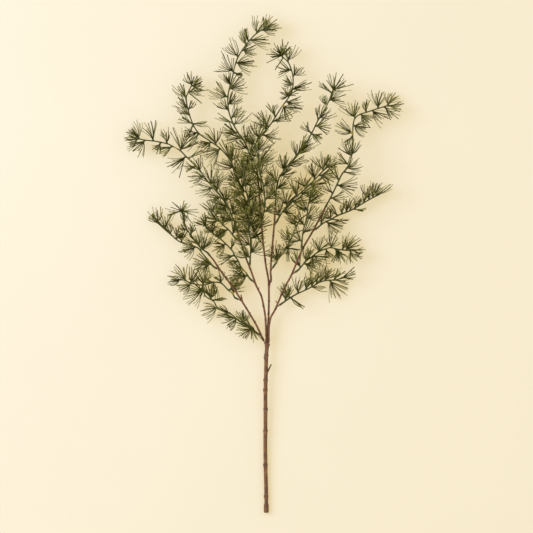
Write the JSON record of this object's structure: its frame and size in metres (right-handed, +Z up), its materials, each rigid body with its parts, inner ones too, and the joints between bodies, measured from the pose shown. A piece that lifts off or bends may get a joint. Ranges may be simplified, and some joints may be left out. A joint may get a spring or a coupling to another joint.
{
  "type": "artificial larch sprig",
  "caption": "Artificial larch sprig lying down: a brown stem with forking branches that carry green sprigs with tufts of fine needles along them.",
  "frame": {"origin": "the middle of the area that the spray covers, on the surface that it lies on", "axes": "+Y runs along the spray from the cut foot of the stem to the tips, +Z points up from the surface, +X points right when seen from above"},
  "size_m": [0.5223, 0.9429, 0.0986],
  "materials": {
    "stem_brown": "matt moulded bark, warm brown with darker nodes",
    "branch_brown": "matt moulded bark, reddish brown",
    "needle_green": "satin moulded needles, dark olive green with paler tips and ochre buds"
  },
  "bodies": {
    "root": {"main_stem": "stem_brown", "branch_left": "branch_brown", "branch_inner": "branch_brown", "branch_middle": "branch_brown", "branch_fork": "branch_brown", "branch_right": "branch_brown", "sprig_left_1": "needle_green", "sprig_left_2": "needle_green", "sprig_left_3": "needle_green", "sprig_left_tip": "needle_green", "sprig_inner_1": "needle_green", "sprig_inner_2": "needle_green", "sprig_inner_3": "needle_green", "sprig_inner_tip": "needle_green", "sprig_middle_1": "needle_green", "sprig_middle_2": "needle_green", "sprig_middle_tip": "needle_green", "sprig_fork_1": "needle_green", "sprig_fork_2": "needle_green", "sprig_fork_tip": "needle_green", "sprig_right_1": "needle_green", "sprig_right_2": "needle_green", "sprig_right_3": "needle_green", "sprig_right_4": "needle_green", "sprig_right_tip": "needle_green"}
  },
  "joints": []
}
